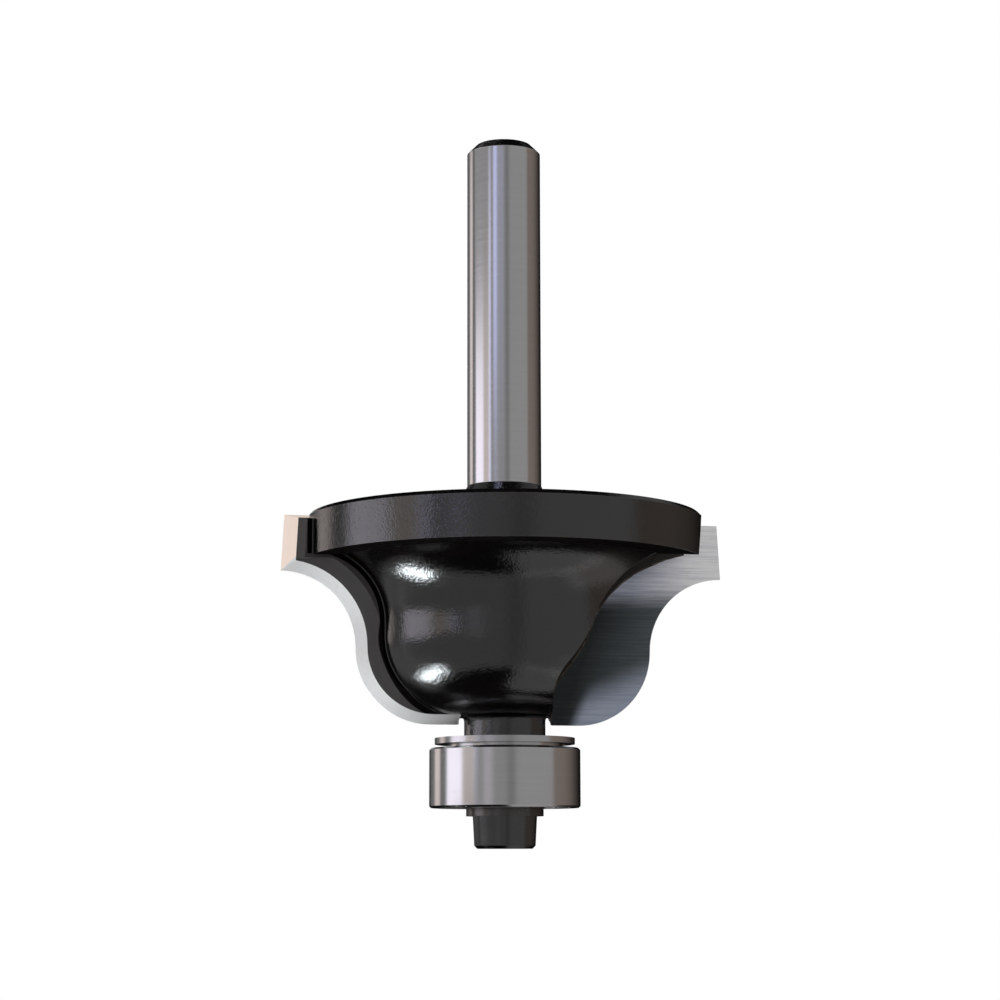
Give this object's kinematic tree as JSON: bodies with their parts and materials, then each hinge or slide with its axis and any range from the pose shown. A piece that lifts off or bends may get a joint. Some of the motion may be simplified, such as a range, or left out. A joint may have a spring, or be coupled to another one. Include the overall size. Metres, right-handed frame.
{
  "type": "router bit",
  "caption": "Cove and bead profile router bit: straight shank, disc-topped hub, carbide-tipped teeth with gullets, and a guide bearing held by a cap screw.",
  "frame": {"origin": "on the cutter's axis, at the lowest point of the cap screw's head", "axes": "+Z along the axis from the cap screw to the shank; +X towards the first tooth, whose rake face lies in the plane y = 0 and looks along -Y"},
  "size_m": [0.0382, 0.0338, 0.0606],
  "materials": {
    "coated_steel": "tool steel with a glossy black coat below the flare, bare and ground on the shank",
    "carbide": "ground tungsten carbide",
    "washer_steel": "satin steel",
    "bearing_steel": "ground bearing steel",
    "cage_steel": "pressed steel",
    "ball_steel": "polished bearing steel",
    "shield_steel": "rolled sheet steel",
    "spring_steel": "dark spring steel",
    "screw_steel": "black oxide"
  },
  "bodies": {
    "cutter": {"cutter_body": "coated_steel", "carbide_tip_1": "carbide", "carbide_tip_2": "carbide", "dust_washer": "washer_steel", "bearing_spacer": "washer_steel", "bearing_inner_ring": "bearing_steel", "screw_washer": "washer_steel", "cap_screw": "screw_steel"},
    "outer_ring": {"bearing_outer_ring": "bearing_steel", "upper_shield": "shield_steel", "lower_shield": "shield_steel", "upper_snap_ring": "spring_steel", "lower_snap_ring": "spring_steel"},
    "cage": {"ball_cage": "cage_steel"},
    "ball_1": {"bearing_ball_1": "ball_steel"},
    "ball_2": {"bearing_ball_2": "ball_steel"},
    "ball_3": {"bearing_ball_3": "ball_steel"},
    "ball_4": {"bearing_ball_4": "ball_steel"},
    "ball_5": {"bearing_ball_5": "ball_steel"},
    "ball_6": {"bearing_ball_6": "ball_steel"},
    "ball_7": {"bearing_ball_7": "ball_steel"}
  },
  "joints": [
    {"name": "outer_ring_spin", "type": "hinge", "parent": "cutter", "child": "outer_ring", "pos_m": [0, 0, 0.00587], "axis": [0, 0, 1], "continuous": true},
    {"name": "cage_spin", "type": "hinge", "parent": "cutter", "child": "cage", "pos_m": [0, 0, 0.00587], "axis": [0, 0, 1], "continuous": true},
    {"name": "ball_1_spin", "type": "hinge", "parent": "cage", "child": "ball_1", "pos_m": [0.00393, 0.00189, 0.00587], "axis": [0, 0, 1], "continuous": true},
    {"name": "ball_2_spin", "type": "hinge", "parent": "cage", "child": "ball_2", "pos_m": [0.00097, 0.00426, 0.00587], "axis": [0, 0, 1], "continuous": true},
    {"name": "ball_3_spin", "type": "hinge", "parent": "cage", "child": "ball_3", "pos_m": [-0.00272, 0.00341, 0.00587], "axis": [0, 0, 1], "continuous": true},
    {"name": "ball_4_spin", "type": "hinge", "parent": "cage", "child": "ball_4", "pos_m": [-0.00437, 0, 0.00587], "axis": [0, 0, 1], "continuous": true},
    {"name": "ball_5_spin", "type": "hinge", "parent": "cage", "child": "ball_5", "pos_m": [-0.00272, -0.00341, 0.00587], "axis": [0, 0, 1], "continuous": true},
    {"name": "ball_6_spin", "type": "hinge", "parent": "cage", "child": "ball_6", "pos_m": [0.00097, -0.00426, 0.00587], "axis": [0, 0, 1], "continuous": true},
    {"name": "ball_7_spin", "type": "hinge", "parent": "cage", "child": "ball_7", "pos_m": [0.00393, -0.00189, 0.00587], "axis": [0, 0, 1], "continuous": true}
  ],
  "couplings": [
    {"joint": "cage_spin", "follows": "outer_ring_spin", "ratio": 0.63635},
    {"joint": "ball_1_spin", "follows": "outer_ring_spin", "ratio": 1.6971},
    {"joint": "ball_2_spin", "follows": "outer_ring_spin", "ratio": 1.6971},
    {"joint": "ball_3_spin", "follows": "outer_ring_spin", "ratio": 1.6971},
    {"joint": "ball_4_spin", "follows": "outer_ring_spin", "ratio": 1.6971},
    {"joint": "ball_5_spin", "follows": "outer_ring_spin", "ratio": 1.6971},
    {"joint": "ball_6_spin", "follows": "outer_ring_spin", "ratio": 1.6971},
    {"joint": "ball_7_spin", "follows": "outer_ring_spin", "ratio": 1.6971}
  ]
}
